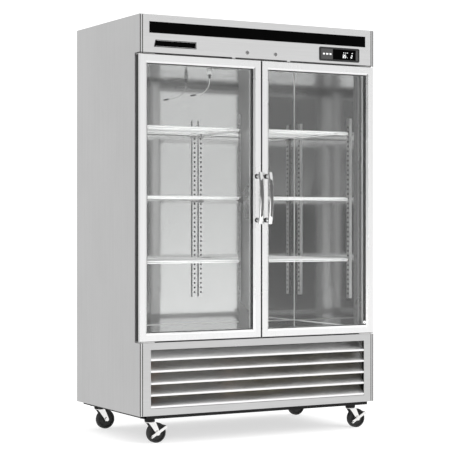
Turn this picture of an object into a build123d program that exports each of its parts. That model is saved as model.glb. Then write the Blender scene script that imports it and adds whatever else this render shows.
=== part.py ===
from build123d import *
import os

# Two-door glass merchandiser. Millimetres, +Z up, -Y is the front (the doors), origin on the floor
# under the middle of the whole, handles included.

# ---- Overall size ----
WIDTH = 1372.0
DEPTH = 762.0
BODY_HEIGHT = 1960.0
BASE_Z = 143.0  # underside of the cabinet: casters and base frame stand below it
HANDLE_PROUD = 58.0
HALF = WIDTH / 2
FRONT = -(DEPTH - HANDLE_PROUD) / 2
BACK = FRONT + DEPTH
TOP = BASE_Z + BODY_HEIGHT

# ---- Levels ----
COMPARTMENT_TOP = BASE_Z + 333
PANEL_TOP = BASE_Z + 357
DOOR_BOTTOM = BASE_Z + 362
FLOOR = BASE_Z + 393
OPENING_TOP = BASE_Z + 1732
CEILING = BASE_Z + 1761
DOOR_TOP = BASE_Z + 1765
HEADER_BOTTOM = BASE_Z + 1774
FOAM_TOP = BASE_Z + 1900
SHELF_TOPS = (BASE_Z + 757, BASE_Z + 1080, BASE_Z + 1430)

# ---- Cabinet walls ----
SHEET = 1.2  # outer sheet metal
LINER = 0.8  # inner sheet metal
WALL = 60.0  # outer face to inner face
BACK_WALL = 65.0
FACE = FRONT + 57  # plane the door gaskets close on
INSIDE = HALF - WALL  # half the width of the storage space
INSIDE_BACK = BACK - BACK_WALL
SIDE_RETURN = 14.0
MULLION_HALF = 32.0
MULLION_BACK = FRONT + 180

# ---- Doors (the left one; the right one is its mirror image) ----
DOOR_X = (-HALF + 1, -4.0)
DOOR_Z = (DOOR_BOTTOM, DOOR_TOP)
DOOR_BACK = FRONT + 44
FRAME_FLAT = 32.0
FRAME_WIDTH = 42.0
FRAME_RETURN = 19.0
BEVEL_DEPTH = 8.0
GLASS_BACK = FRONT + 28.6
PANE = 4.0
SPACER_INNER = 45.0
HINGE_X = -HALF + 20
HINGE_Y = FRONT + 25
PIN_R = 5.0
RUNNING = 0.06  # radial clearance of every turning fit
HANDLE_X = -28.0
HANDLE_Z = BASE_Z + 1068
HANDLE_LENGTH = 260.0
HANDLE_FEET = 222.0

# ---- Header ----
LOCK_X = -83.0
LOCK_Z = BASE_Z + 1802
PLUG_R = 6.0
CONTROL_X = (347.0, 596.0)
CONTROL_Z = (BASE_Z + 1786, BASE_Z + 1858)
BUTTON_XS = (374.0, 394.0, 414.0)
BUTTON_Z = BASE_Z + 1822

# ---- Lower grille ----
GRILLE_OPENING = (BASE_Z + 35, BASE_Z + 322)
BLADE_BASES = [BASE_Z + z for z in (37, 95, 152, 211, 268)]
RIB_X = 257.0

# ---- Casters ----
CASTER_X = HALF - 93
CASTER_YS = (FRONT + 80, FRONT + 682)
PLATE_Z = 127.0
WHEEL_R = 50.0
TRAIL = 34.0
AXLE_R = 5.0
BOSS_R = 8.0

# ---- Fans ----
CONDENSER_X = (-540.0, -80.0)
CONDENSER_Z = (165.0, 435.0)
CONDENSER_FAN = (-310.0, FRONT + 200, 300.0)
EVAPORATOR_FAN = (0.0, FRONT + 330, CEILING + 14)
SHAFT_R = 4.0

os.makedirs("parts", exist_ok=True)


def block(x, y, z):
    """A box between the (low, high) limits on each axis."""
    centre = Pos((x[0] + x[1]) / 2, (y[0] + y[1]) / 2, (z[0] + z[1]) / 2)
    return centre * Box(x[1] - x[0], y[1] - y[0], z[1] - z[0])


def rod(radius, start, end):
    """A round bar from one point to another."""
    axis = Vector(*end) - Vector(*start)
    return extrude(Plane(origin=start, z_dir=axis) * Circle(radius), axis.length)


def prism_x(outline, x):
    """A (y, z) outline extruded between two x values."""
    face = Plane.YZ.offset(x[0]) * Polygon(*outline, align=None)
    return extrude(face, x[1] - x[0], dir=(1, 0, 0))


def prism_y(outline, y):
    """An (x, z) outline extruded between two y values."""
    plane = Plane(origin=(0, y[0], 0), x_dir=(1, 0, 0), z_dir=(0, -1, 0))
    return extrude(plane * Polygon(*outline, align=None), y[1] - y[0], dir=(0, 1, 0))


def picture_frame(x, y, z, wall):
    """A rectangular ring standing in the XZ plane."""
    hole = block((x[0] + wall, x[1] - wall), (y[0] - 1, y[1] + 1), (z[0] + wall, z[1] - wall))
    return block(x, y, z) - hole


def both_sides(shape):
    """A shape and its mirror image about the middle of the cabinet."""
    return [shape, mirror(shape, Plane.YZ)]


def save(name, *shapes):
    """Write one sub-part, of one or more solids, as a STEP file."""
    solids = [solid for shape in shapes for solid in shape.solids()]
    whole = solids[0] if len(solids) == 1 else Compound(children=solids)
    export_step(whole, f"parts/{name}.step")


# ------------------------------------------------------------------ outer cabinet


def side_panel():
    """The left outer side: a sheet notched back beside the door, its front edges turned inwards."""
    inner = -HALF + SHEET
    sheet = block((-HALF, inner), (FRONT, BACK), (BASE_Z, TOP - SHEET))
    sheet -= block((-HALF - 1, inner + 1), (FRONT - 1, FACE), (PANEL_TOP, HEADER_BOTTOM))
    front_edge = (FRONT, FRONT + SHEET)
    sheet += block((inner, -HALF + SIDE_RETURN), front_edge, (BASE_Z, PANEL_TOP))
    sheet += block((inner, -HALF + SIDE_RETURN), front_edge, (HEADER_BOTTOM, TOP - SHEET))
    sheet += block((inner, -HALF + 19), (FACE, FACE + SHEET), (PANEL_TOP, HEADER_BOTTOM))
    return sheet


def back_panel():
    """The outer back, with three shallow stiffening ribs pressed inwards from its lower edge up."""
    sheet = block((-HALF + SHEET, HALF - SHEET), (BACK - SHEET, BACK), (COMPARTMENT_TOP, TOP - SHEET))
    for x in (-400, 0, 400):
        sheet -= block((x - 20, x + 20), (BACK - 0.4, BACK + 1), (COMPARTMENT_TOP + 80, TOP - 80))
    return sheet


def foam_insulation():
    """Five slabs between the outer and inner sheets."""
    outer = HALF - SHEET
    skin = INSIDE + LINER
    depth = (FACE + 40, BACK - SHEET)
    left = block((-outer, -skin), (FACE + 13, BACK - SHEET), (COMPARTMENT_TOP, FOAM_TOP))
    behind = block((-skin, skin), (INSIDE_BACK + LINER, BACK - SHEET), (COMPARTMENT_TOP, FOAM_TOP))
    below = block((-skin, skin), (depth[0], INSIDE_BACK + LINER), (COMPARTMENT_TOP, FLOOR - LINER))
    above = block((-outer, outer), depth, (FOAM_TOP, TOP - SHEET))
    return both_sides(left) + [behind, below, above]


def inner_liner():
    """The bright lining of the storage space: two sides, back and floor, folded from one sheet."""
    y = (FACE + 40, INSIDE_BACK + LINER)
    skin = INSIDE + LINER
    shell = block((-skin, skin), y, (FLOOR - LINER, FOAM_TOP))
    return shell - block((-INSIDE, INSIDE), (y[0] - 1, INSIDE_BACK), (FLOOR, FOAM_TOP + 1))


def ceiling_panel():
    """The false ceiling, with the fan's round inlet and a row of outlet slots along the back."""
    sheet = block((-INSIDE, INSIDE), (FACE + 40, INSIDE_BACK), (CEILING, CEILING + SHEET))
    sheet -= Pos(EVAPORATOR_FAN[0], EVAPORATOR_FAN[1], CEILING) * Cylinder(104, 10)
    for i in range(5):
        x = 110 + 105 * i
        slot = block((x - 40, x + 40), (INSIDE_BACK - 45, INSIDE_BACK - 35), (CEILING - 1, CEILING + 2))
        for cut in both_sides(slot):
            sheet -= cut
    return sheet


def face_frame():
    """The frame the doors close on: two stiles, head, sill and centre mullion."""
    z = (COMPARTMENT_TOP, FOAM_TOP)
    stile = block((-HALF + SHEET, -INSIDE), (FACE + SHEET, FACE + 13), z)
    stile += block((-HALF + 19.5, -INSIDE), (FACE, FACE + SHEET), z)
    stile += block((-INSIDE - LINER, -INSIDE), (FACE + 13, FACE + 40), z)
    head = block((-INSIDE, INSIDE), (FACE, FACE + 40), (OPENING_TOP, FOAM_TOP))
    sill = block((-INSIDE, INSIDE), (FACE, FACE + 40), (COMPARTMENT_TOP, FLOOR))
    mullion = block((-MULLION_HALF, MULLION_HALF), (FACE, MULLION_BACK), (FLOOR, CEILING))
    mullion = fillet(mullion.edges().filter_by(Axis.Z).sort_by(Axis.Y)[:2], 2)
    mullion -= block((-INSIDE, INSIDE), (FACE - 1, FACE + 40), (OPENING_TOP, CEILING + 1))
    return both_sides(stile) + [head, sill, mullion]


# ------------------------------------------------------------------ storage space

PILASTER = (26.0, 8.0, 1.5)  # width, stand-off, thickness
PILASTER_Z = (BASE_Z + 540, BASE_Z + 1502)
SLOT_PITCH = 25.4


def pilaster():
    """A slotted channel standing upright on the XZ plane, its face towards -Y, at the origin."""
    width, proud, thick = PILASTER
    half = width / 2
    strip = block((-half, half), (-proud, 0), PILASTER_Z)
    low, high = PILASTER_Z
    strip -= block((-half + thick, half - thick), (-proud + thick, 1), (low - 1, high + 1))
    count = int((high - low - 26) / SLOT_PITCH)
    slots = []
    for i in range(count):
        z = low + 25 + SLOT_PITCH * i
        slots.append(block((-4, 4), (-proud - 1, -proud + thick + 1), (z - 4.5, z + 4.5)))
    return strip - slots


SIDE_PILASTER_YS = (FRONT + 139, FRONT + 636)
MULLION_PILASTER_Y = FRONT + 158
BACK_PILASTER_X = -19.6


def shelf_pilasters():
    """Eight channels: two on each side wall, one on each mullion side, two behind the mullion."""
    one = pilaster()
    left = [Pos(-INSIDE, y, 0) * Rot(0, 0, 90) * one for y in SIDE_PILASTER_YS]
    left.append(Pos(-MULLION_HALF, MULLION_PILASTER_Y, 0) * Rot(0, 0, -90) * one)
    left.append(Pos(BACK_PILASTER_X, INSIDE_BACK, 0) * one)
    return [piece for shape in left for piece in both_sides(shape)]


SHELF_X = (-613.0, -55.0)
SHELF_Y = (FRONT + 120, FRONT + 660)
ROD_R = 3.5
WIRE_R = 2.0
WIRE_COUNT = 26
SHELF_THICK = 2 * ROD_R + 2 * WIRE_R - 0.6


def wire_shelf(top):
    """The left shelf of one level: wires running front to back, welded on a rim and two cross rods."""
    wire_z = top - WIRE_R
    rod_z = top - 2 * WIRE_R - ROD_R + 0.6
    left, right = SHELF_X[0] + ROD_R, SHELF_X[1] - ROD_R
    front, rear = SHELF_Y[0] + ROD_R, SHELF_Y[1] - ROD_R
    centre = Pos((left + right) / 2, (front + rear) / 2, rod_z)
    rim_line = centre * RectangleRounded(right - left, rear - front, 10).wire()
    start = Plane(origin=rim_line @ 0, z_dir=rim_line % 0)
    shelf = sweep(start * Circle(ROD_R), path=rim_line)
    for y in (FRONT + 300, FRONT + 480):
        shelf += rod(ROD_R - 0.4, (left, y, rod_z - 0.4), (right, y, rod_z - 0.4))
    gap = (right - left) / (WIRE_COUNT + 1)
    for i in range(WIRE_COUNT):
        x = left + gap * (i + 1)
        shelf += rod(WIRE_R, (x, front - 2, wire_z), (x, rear + 2, wire_z))
    return shelf


def shelf_clips(top):
    """The four clips under one left shelf: a flat tab hooked in a pilaster, with a V gusset below."""
    z = top - SHELF_THICK
    drop = 22.0
    clips = []
    wall = -INSIDE + PILASTER[1]
    for y in SIDE_PILASTER_YS:
        tab = block((wall, wall + 20), (y - 10, y + 10), (z - 3, z))
        gusset = [(wall, z - 3), (wall + 20, z - 3), (wall, z - drop)]
        clips.append(tab + prism_y(gusset, (y - 1.5, y + 1.5)))
    face = -MULLION_HALF - PILASTER[1]
    y = MULLION_PILASTER_Y
    tab = block((face - 28, face), (y - 10, y + 10), (z - 3, z))
    gusset = [(face, z - 3), (face - 28, z - 3), (face, z - drop)]
    clips.append(tab + prism_y(gusset, (y - 1.5, y + 1.5)))
    face = INSIDE_BACK - PILASTER[1]
    tab = block((-74, BACK_PILASTER_X + 10), (face - 46, face), (z - 3, z))
    gusset = [(face, z - 3), (face - 46, z - 3), (face, z - drop)]
    clips.append(tab + prism_x(gusset, (BACK_PILASTER_X - 1.5, BACK_PILASTER_X + 1.5)))
    return clips


def mullion_lamp():
    """The upright lamp on the mullion's back: a flat base and a rounded diffuser."""
    z = (FLOOR + 25, CEILING - 12)
    base = block((-24, 24), (MULLION_BACK, MULLION_BACK + 3), z)
    cover = block((-22, 22), (MULLION_BACK + 3, MULLION_BACK + 14), (z[0] + 8, z[1] - 8))
    return base + fillet(cover.edges().filter_by(Axis.Z).sort_by(Axis.Y)[2:], 8)


def temperature_probe():
    """A probe on a thin tube that hangs in a curve from a fitting in the ceiling."""
    x, y = 4.0, FRONT + 560
    fitting = rod(12, (x, y, CEILING - 16), (x, y, CEILING))
    fitting += rod(7, (x, y, CEILING - 38), (x, y, CEILING - 16))
    hang = [(0, 37), (2, 66), (14, 93), (38, 115), (68, 127), (100, 133)]
    line = [(x - across, y - across / 5, CEILING - down) for across, down in hang]
    path = FilletPolyline(*line, radius=24)
    tube = sweep(Plane(origin=path @ 0, z_dir=path % 0) * Circle(2), path=path)
    end, along = path @ 1, path % 1
    bulb = extrude(Plane(origin=end - along * 2, z_dir=along) * Circle(4.5), 30)
    return fitting + tube + bulb


# ------------------------------------------------------------------ header


def header_panel():
    """The stainless fascia over the doors, with flanges and openings for what it carries."""
    side = HALF - SIDE_RETURN - 2
    panel = block((-side, side), (FRONT, FRONT + SHEET), (HEADER_BOTTOM, TOP - SHEET))
    panel += block((-side, side), (FRONT, FRONT + 50), (HEADER_BOTTOM, HEADER_BOTTOM + SHEET))
    panel += block((-side, side), (FRONT, FRONT + 24), (TOP - 2 * SHEET, TOP - SHEET))
    through = (FRONT - 1, FRONT + 5)
    panel -= block((-634.2, 634.2), through, (BASE_Z + 1869.8, BASE_Z + 1925.2))
    panel -= block((CONTROL_X[0] + 12, CONTROL_X[1] - 12), through, (CONTROL_Z[0] + 6, CONTROL_Z[1] - 6))
    hole = rod(8.6, (LOCK_X, FRONT - 1, LOCK_Z), (LOCK_X, FRONT + 5, LOCK_Z))
    slot_z = (HEADER_BOTTOM - 1, HEADER_BOTTOM + 3)
    slot = block((LOCK_X - 9, LOCK_X + 46), (FRONT + 11, FRONT + 21), slot_z)
    for cut in both_sides(hole) + both_sides(slot):
        panel -= cut
    stop = block((-171, -151), (FRONT + 2, FRONT + 14), (DOOR_TOP + 1, HEADER_BOTTOM))
    for tab in both_sides(stop):
        panel += tab
    return panel


def header_strip():
    """The long gloss black strip set in the fascia."""
    strip = block((-634, 634), (FRONT - 1.5, FRONT + SHEET), (BASE_Z + 1870, BASE_Z + 1925))
    return chamfer(strip.faces().sort_by(Axis.Y)[0].edges(), 0.6)


def badge_plate():
    """A blank plate with a slanted left end."""
    low, high = BASE_Z + 1802, BASE_Z + 1837
    outline = [(-609, low), (-375, low), (-375, high), (-601, high)]
    return prism_y(outline, (FRONT - 1.5, FRONT))


def controller_housing():
    """The controller: a rounded bezel on the fascia, and a hollow box behind it with button holes."""
    x, z = CONTROL_X, CONTROL_Z
    bezel = block(x, (FRONT - 3, FRONT), z)
    bezel = fillet(bezel.edges().filter_by(Axis.Y), 8)
    bezel -= block((x[0] + 10, x[1] - 10), (FRONT - 4, FRONT - 2), (z[0] + 9, z[1] - 9))
    box = block((x[0] + 12.3, x[1] - 12.3), (FRONT - 0.5, FRONT + 40), (z[0] + 6.3, z[1] - 6.3))
    cavity = block((x[0] + 15, x[1] - 15), (FRONT - 0.5, FRONT + 37), (z[0] + 9, z[1] - 9))
    housing = bezel + box - cavity
    for bx in BUTTON_XS:
        housing -= block((bx - 6.5, bx + 6.5), (FRONT - 4, FRONT + 1), (BUTTON_Z - 4.5, BUTTON_Z + 4.5))
    return housing


def button(x):
    """A key with a flange that keeps it in the bezel."""
    cap = block((x - 6, x + 6), (FRONT - 4, FRONT + 1), (BUTTON_Z - 4, BUTTON_Z + 4))
    cap = fillet(cap.edges().filter_by(Axis.Y), 1.5)
    return cap + block((x - 8, x + 8), (FRONT, FRONT + 1.5), (BUTTON_Z - 6, BUTTON_Z + 6))


def lock_housing():
    """The left lock's barrel, with a flange on the fascia."""
    barrel = rod(8.5, (LOCK_X, FRONT, LOCK_Z), (LOCK_X, FRONT + 12, LOCK_Z))
    barrel += rod(10, (LOCK_X, FRONT - 2, LOCK_Z), (LOCK_X, FRONT, LOCK_Z))
    return barrel - rod(PLUG_R + RUNNING, (LOCK_X, FRONT - 3, LOCK_Z), (LOCK_X, FRONT + 13, LOCK_Z))


def lock_plug():
    """The left lock's turning plug: keyway at the front, cam and nut behind the barrel."""
    plug = rod(PLUG_R, (LOCK_X, FRONT - 2.6, LOCK_Z), (LOCK_X, FRONT + 15, LOCK_Z))
    plug -= block((LOCK_X - 0.8, LOCK_X + 0.8), (FRONT - 3, FRONT + 1), (LOCK_Z - 4, LOCK_Z + 4))
    cam = block((LOCK_X, LOCK_X + 48), (FRONT + 14, FRONT + 17), (LOCK_Z - 6, LOCK_Z + 6))
    cam += rod(9, (LOCK_X, FRONT + 14, LOCK_Z), (LOCK_X, FRONT + 17, LOCK_Z))
    return plug + cam + rod(5, (LOCK_X, FRONT + 17, LOCK_Z), (LOCK_X, FRONT + 21, LOCK_Z))


# ------------------------------------------------------------------ doors


def door_ring(outer, inner, y):
    """A rectangular ring of the left door between two insets from the door's edges."""
    ring = block((DOOR_X[0] + outer, DOOR_X[1] - outer), y, (DOOR_Z[0] + outer, DOOR_Z[1] - outer))
    hole_x = (DOOR_X[0] + inner, DOOR_X[1] - inner)
    return ring - block(hole_x, (y[0] - 1, y[1] + 1), (DOOR_Z[0] + inner, DOOR_Z[1] - inner))


def door_rectangle(inset, y):
    """The left door's outline, inset, as a flat sketch at one depth."""
    centre = ((DOOR_X[0] + DOOR_X[1]) / 2, y, (DOOR_Z[0] + DOOR_Z[1]) / 2)
    plane = Plane(origin=centre, x_dir=(1, 0, 0), z_dir=(0, -1, 0))
    return plane * Rectangle(DOOR_X[1] - DOOR_X[0] - 2 * inset, DOOR_Z[1] - DOOR_Z[0] - 2 * inset)


def cam_slot():
    """The slot in the door's top edge that the lock's cam turns into."""
    return block((LOCK_X - 10, LOCK_X + 38), (FRONT + 11, FRONT + 21), (DOOR_TOP - 15, DOOR_TOP + 1))


def door_frame():
    """The bright door frame: flat face, bevel down to the glass, and outer return."""
    bevel = door_ring(FRAME_FLAT - 2, FRAME_WIDTH, (FRONT, FRONT + BEVEL_DEPTH))
    bevel -= loft([door_rectangle(FRAME_FLAT, FRONT), door_rectangle(FRAME_WIDTH, FRONT + BEVEL_DEPTH)])
    face = door_ring(0, FRAME_FLAT, (FRONT, FRONT + 2))
    edge = door_ring(0, 2, (FRONT + 2, FRONT + FRAME_RETURN))
    return face + edge + bevel - cam_slot()


def door_liner():
    """The black core of the door: fills the frame, holds the glass and takes the hinge pins."""
    core = door_ring(2, FRAME_FLAT - 2, (FRONT + 2, FRONT + FRAME_RETURN))
    core += door_ring(0.6, 33, (FRONT + FRAME_RETURN, GLASS_BACK))
    core += door_ring(0.6, SPACER_INNER, (GLASS_BACK, DOOR_BACK))
    core -= cam_slot()
    for z in (DOOR_BOTTOM, DOOR_TOP):
        core -= rod(PIN_R + RUNNING, (HINGE_X, HINGE_Y, z - 20), (HINGE_X, HINGE_Y, z + 20))
    return core


def door_glass():
    """The sealed unit: two panes and the spacer between them."""
    edge = (DOOR_X[0] + 33.5, DOOR_X[1] - 33.5)
    height = (DOOR_Z[0] + 33.5, DOOR_Z[1] - 33.5)
    front = block(edge, (FRONT + BEVEL_DEPTH, FRONT + BEVEL_DEPTH + PANE), height)
    rear = block(edge, (GLASS_BACK - PANE, GLASS_BACK), height)
    between = (FRONT + BEVEL_DEPTH + PANE, GLASS_BACK - PANE)
    return [front, rear, door_ring(38, SPACER_INNER, between)]


def door_gasket():
    """The magnetic gasket: a base, a narrow bellows and a wide sealing face."""
    x = (DOOR_X[0] + 20, DOOR_X[1] - 12)
    z = (DOOR_Z[0] + 14, DOOR_Z[1] - 14)
    middle_x, middle_z = (x[0] + 3, x[1] - 3), (z[0] + 3, z[1] - 3)
    gasket = picture_frame(x, (DOOR_BACK, DOOR_BACK + 3), z, 13)
    gasket += picture_frame(middle_x, (DOOR_BACK + 3, FACE - 4), middle_z, 7)
    return gasket + picture_frame(x, (FACE - 4, FACE - 0.4), z, 13)


def door_handle():
    """A bow handle on two round feet."""
    ends = HANDLE_LENGTH / 2
    stand = (FRONT - 37.0, FRONT - HANDLE_PROUD + 6)
    reach = ((stand[0], -ends), (stand[1], 0), (stand[0], ends))
    path = ThreePointArc(*[(HANDLE_X, y, HANDLE_Z + dz) for y, dz in reach])
    plane = Plane(origin=path @ 0, x_dir=(1, 0, 0), z_dir=path % 0)
    bar = sweep(plane * RectangleRounded(21, 12, 5), path=path)
    for side in (-1, 1):
        z = HANDLE_Z + side * HANDLE_FEET / 2
        bar += rod(7, (HANDLE_X, FRONT, z), (HANDLE_X, stand[0] - 6, z))
        bar += rod(9.5, (HANDLE_X, FRONT - 3, z), (HANDLE_X, FRONT, z))
    return bar


def hinge_brackets():
    """The left door's two L brackets, each with the pin that the door turns on."""
    x = (HINGE_X - 10, HINGE_X + 70)
    thick, leg, pin = 3.5, 32.0, 15.0
    brackets = []
    for edge, gap, away in ((DOOR_BOTTOM, 1.0, -1), (DOOR_TOP, 2.0, 1)):
        near = edge + away * gap
        far = near + away * thick
        plate = block(x, (FRONT + 6, FACE), sorted((near, far)))
        plate = fillet(plate.edges().filter_by(Axis.Z).sort_by(Axis.Y)[:2], 8)
        plate += block(x, (FACE - thick, FACE), sorted((far, far + away * leg)))
        brackets.append(plate + rod(PIN_R, (HINGE_X, HINGE_Y, near), (HINGE_X, HINGE_Y, edge - away * pin)))
    return brackets


# ------------------------------------------------------------------ lower panel and machine compartment


def grille_frame():
    """The lower front panel with its wide opening, and two ribs that steady the blades from behind."""
    side = HALF - SIDE_RETURN - 2
    low, high = GRILLE_OPENING
    panel = block((-side, side), (FRONT, FRONT + 16), (BASE_Z, PANEL_TOP))
    across, behind = INSIDE + SHEET, (FRONT + SHEET, FRONT + 17)
    full = (BASE_Z + SHEET, PANEL_TOP - SHEET)
    for pocket in both_sides(block((-side - 1, -across), behind, full)):
        panel -= pocket
    panel -= block((-across, across), behind, (BASE_Z + SHEET, low - SHEET))
    panel -= block((-across, across), behind, (high + SHEET, PANEL_TOP - SHEET))
    panel -= block((-INSIDE, INSIDE), (FRONT - 1, FRONT + 17), (low, high))
    panel += block((-side, side), (FRONT + 16, FRONT + 50), (PANEL_TOP - SHEET, PANEL_TOP))
    thick = (-RIB_X - 1.5, -RIB_X + 1.5)
    rib = block(thick, (FRONT + 57, FRONT + 72), (low - 8, COMPARTMENT_TOP - 2))
    rib += block(thick, (FRONT + 14, FRONT + 60), (high + SHEET / 2, COMPARTMENT_TOP - 2))
    rib += block(thick, (FRONT + 14, FRONT + 60), (low - 8, low - SHEET / 2))
    for piece in both_sides(rib):
        panel += piece
    return panel


def grille_blade(low):
    """One louvre: an upright front lip and a plate that rises towards the back."""
    outline = [
        (FRONT, low),
        (FRONT + 1.4, low),
        (FRONT + 1.4, low + 8),
        (FRONT + 55, low + 51),
        (FRONT + 54, low + 52.2),
        (FRONT, low + 9.2),
    ]
    return prism_x(outline, (-INSIDE + 0.4, INSIDE - 0.4))


def base_frame():
    """The black chassis: front and rear box channels, two side rails and the pan over them."""
    z = (PLATE_Z, BASE_Z)
    half = HALF - 36
    pieces = []
    for y in ((FRONT + 5, FRONT + 140), (BACK - 140, BACK - 5)):
        tube = block((-half, half), y, z)
        pieces.append(tube - block((-half - 1, half + 1), (y[0] + 2, y[1] - 2), (z[0] + 2, z[1] - 2)))
    pieces += both_sides(block((-half, -half + 50), (FRONT + 140, BACK - 140), z))
    edge = HALF - SHEET
    pieces.append(block((-edge, edge), (FRONT + 17, BACK - SHEET), (BASE_Z, BASE_Z + 1.5)))
    return pieces


def compressor():
    """The hermetic can on its foot plate, with the terminal box on its side."""
    x, y, z = 330.0, FRONT + 520, BASE_Z + 1.5
    can = Pos(x, y, z + 110) * Cylinder(88, 160)
    can = fillet(can.edges().filter_by(GeomType.CIRCLE), 34)
    foot = block((x - 105, x + 105), (y - 75, y + 75), (z + 22, z + 32))
    for dx in (-90, 90):
        for dy in (-60, 60):
            foot += rod(11, (x + dx, y + dy, z), (x + dx, y + dy, z + 22))
    return can + foot + block((x + 60, x + 112), (y - 35, y + 35), (z + 90, z + 150))


def finned_coil(x, y, z, pitch):
    """A coil: a fin pack grooved on its front face between two end plates, with return bends."""
    pack = block((x[0] + 22, x[1] - 22), y, z)
    count = int((x[1] - x[0] - 52) / pitch)
    grooves = []
    for i in range(count):
        at = x[0] + 30 + pitch * i
        grooves.append(block((at, at + pitch / 2), (y[0] - 1, y[0] + 5), (z[0] + 4, z[1] - 4)))
    pack -= grooves
    for end in (x[0] + 20, x[1] - 22):
        pack += block((end, end + 2), (y[0] - 2, y[1] + 2), z)
    rows = int((z[1] - z[0]) / 50)
    middle = (y[0] + y[1]) / 2
    for end, out in ((x[0] + 21, x[0] + 8), (x[1] - 21, x[1] - 8)):
        for i in range(rows):
            low = z[0] + 18 + 50 * i
            for level in (low, low + 25):
                pack += rod(4.5, (end, middle, level), (out, middle, level))
            pack += rod(4.5, (out, middle, low - 4.4), (out, middle, low + 29.4))
    return pack


def condenser_fan_shroud():
    """The plate behind the condenser with its round opening, and the motor on its strap."""
    x, y, z = CONDENSER_FAN
    plate_y = FRONT + 174
    plate = block(CONDENSER_X, (plate_y, plate_y + 2), CONDENSER_Z)
    plate -= rod(110, (x, plate_y - 1, z), (x, plate_y + 3, z))
    for side in (-1, 1):
        arm_z = sorted((z + side * 118, z + side * 121))
        plate += block((x - 12, x + 12), (plate_y + 2, y + 36), arm_z)
    plate += block((x - 12, x + 12), (y + 33, y + 36), (z - 121, z + 121))
    plate += rod(38, (x, y + 36, z), (x, y + 90, z))
    return plate + rod(SHAFT_R, (x, y - 8, z), (x, y + 36, z))


def fan_blade(blades, radius, chord):
    """A fan wheel turning about the Z axis at the origin: bored hub and pitched blades."""
    wheel = Cylinder(18, 20)
    for i in range(blades):
        blade = Pos((radius + 14) / 2, 0, 0) * Rot(30, 0, 0) * Box(radius - 14, chord, 2)
        wheel += Rot(0, 0, 360 / blades * i) * blade
    return (wheel & Cylinder(radius, 60)) - Cylinder(SHAFT_R + RUNNING, 40)


def condensate_pan():
    """The open tray that catches the defrost water."""
    x, y, z = (-480, -120), (FRONT + 430, FRONT + 650), (BASE_Z + 1.5, BASE_Z + 45)
    tray = block(x, y, z)
    tray = fillet(tray.edges().filter_by(Axis.Z), 12)
    hollow = block((x[0] + 2, x[1] - 2), (y[0] + 2, y[1] - 2), (z[0] + 2, z[1] + 1))
    return tray - fillet(hollow.edges().filter_by(Axis.Z), 10)


def electrical_box():
    """A closed box with a lid, beside the compressor."""
    body = block((500, 640), (FRONT + 150, FRONT + 330), (BASE_Z + 1.5, BASE_Z + 120))
    lid = block((496, 644), (FRONT + 146, FRONT + 334), (BASE_Z + 120, BASE_Z + 126))
    return body + fillet(lid.edges().filter_by(Axis.Z), 4)


def pipe(radius, bend, *points):
    """A tube with rounded bends along a line of points."""
    path = FilletPolyline(*points, radius=bend)
    return sweep(Plane(origin=path @ 0, z_dir=path % 0) * Circle(radius), path=path)


def refrigerant_lines():
    """The copper pipes from the compressor to the condenser and up to the insulated floor."""
    middle = FRONT + 140
    discharge = pipe(
        4, 20, (330, FRONT + 500, BASE_Z + 191.6), (330, FRONT + 500, BASE_Z + 250),
        (-62, FRONT + 500, BASE_Z + 250), (-62, middle, BASE_Z + 250), (-83.4, middle, BASE_Z + 250),
    )
    suction = pipe(
        6, 25, (360, FRONT + 550, BASE_Z + 191.6), (360, FRONT + 550, BASE_Z + 290),
        (430, FRONT + 550, BASE_Z + 290), (430, FRONT + 550, COMPARTMENT_TOP),
    )
    return discharge, suction


def rear_cover():
    """The vented cover of the machine compartment, with its screws and the hole for the cord gland."""
    cover = block((-HALF + SHEET, HALF - SHEET), (BACK - SHEET, BACK), (BASE_Z, COMPARTMENT_TOP))
    slots = []
    for x in (-400, 0, 330):
        for i in range(9):
            z = BASE_Z + 70 + 24 * i
            slots.append(block((x - 90, x + 90), (BACK - 3, BACK + 1), (z, z + 9)))
    cover -= slots
    cover -= rod(12.2, (560, BACK - 3, BASE_Z + 70), (560, BACK + 1, BASE_Z + 70))
    for x in (-640, 0, 640):
        for z in (BASE_Z + 20, COMPARTMENT_TOP - 14):
            cover += rod(5, (x, BACK - SHEET - 2.5, z), (x, BACK - SHEET, z))
    return cover


def cord_gland():
    """The flush gland where the mains cord leaves."""
    z = BASE_Z + 70
    gland = rod(12, (560, BACK - SHEET, z), (560, BACK, z))
    gland += rod(18, (560, BACK - 6, z), (560, BACK - SHEET, z))
    gland += rod(11, (560, BACK - 28, z), (560, BACK - 6, z))
    return gland - rod(4.6, (560, BACK - 29, z), (560, BACK + 1, z))


def evaporator_fan_guard():
    """The wire guard lying on the ceiling panel, and the fan motor on a strap over it."""
    x, y, z = EVAPORATOR_FAN
    level = Pos(x, y, CEILING + SHEET + 1.2)
    guard = level * Cylinder(24, 2.4)
    for radius in (42, 58, 74, 90, 108):
        guard += level * (Cylinder(radius + 1.4, 2.4) - Cylinder(radius - 1.4, 5))
    for i in range(6):
        guard += level * Rot(0, 0, 60 * i) * Pos(65, 0, 0) * Box(86, 2.8, 2.4)
    foot = CEILING + SHEET
    strap = block((x - 125, x + 125), (y - 10, y + 10), (z + 30, z + 33))
    for side in (-1, 1):
        foot_x = sorted((x + side * 122, x + side * 125))
        strap += block(foot_x, (y - 10, y + 10), (foot, z + 33))
    strap += rod(32, (x, y, z + 33), (x, y, z + 80))
    return guard, strap + rod(SHAFT_R, (x, y, z - 6), (x, y, z + 33))


# ------------------------------------------------------------------ casters


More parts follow.
